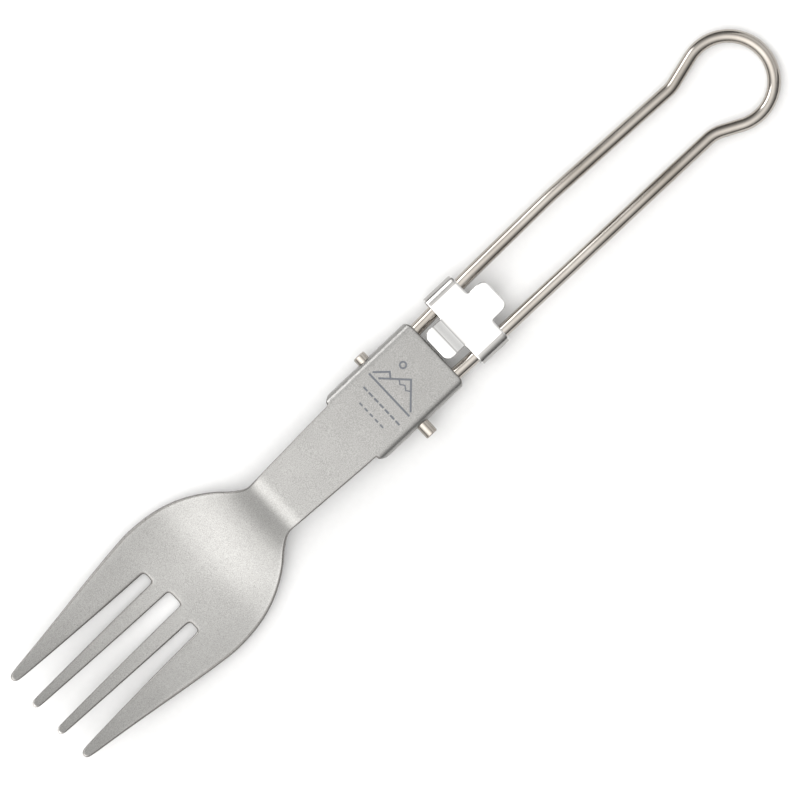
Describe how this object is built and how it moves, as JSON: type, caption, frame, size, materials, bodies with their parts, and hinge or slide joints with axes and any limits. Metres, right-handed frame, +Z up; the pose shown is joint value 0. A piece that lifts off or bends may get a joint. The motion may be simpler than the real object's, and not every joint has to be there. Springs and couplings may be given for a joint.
{
  "type": "folding fork",
  "caption": "Folding titanium camping fork with a wire loop handle that folds under the head and a sliding lock.",
  "frame": {"origin": "under the middle of the fork's bounding box, on the surface it lies on", "axes": "+X from the tines to the handle's loop, +Y to the left, +Z up out of the bowl"},
  "size_m": [0.1652, 0.0266, 0.0069],
  "materials": {
    "titanium": "bead-blasted satin titanium",
    "wire": "polished titanium wire",
    "polished_steel": "mirror polished sheet"
  },
  "bodies": {
    "fork_head": {"fork_head": "titanium"},
    "wire_handle": {"wire_handle": "wire"},
    "lock_slider": {"lock_slider": "polished_steel"}
  },
  "joints": [
    {"name": "handle_fold", "type": "hinge", "parent": "fork_head", "child": "wire_handle", "pos_m": [-0.00305, 0, 0.00392], "axis": [0, 1, 0], "range_deg": [0, 168]},
    {"name": "lock_slide", "type": "slide", "parent": "wire_handle", "child": "lock_slider", "axis": [0.9995, 0, -0.0327], "range_m": [-0.0024, 0.047]}
  ]
}
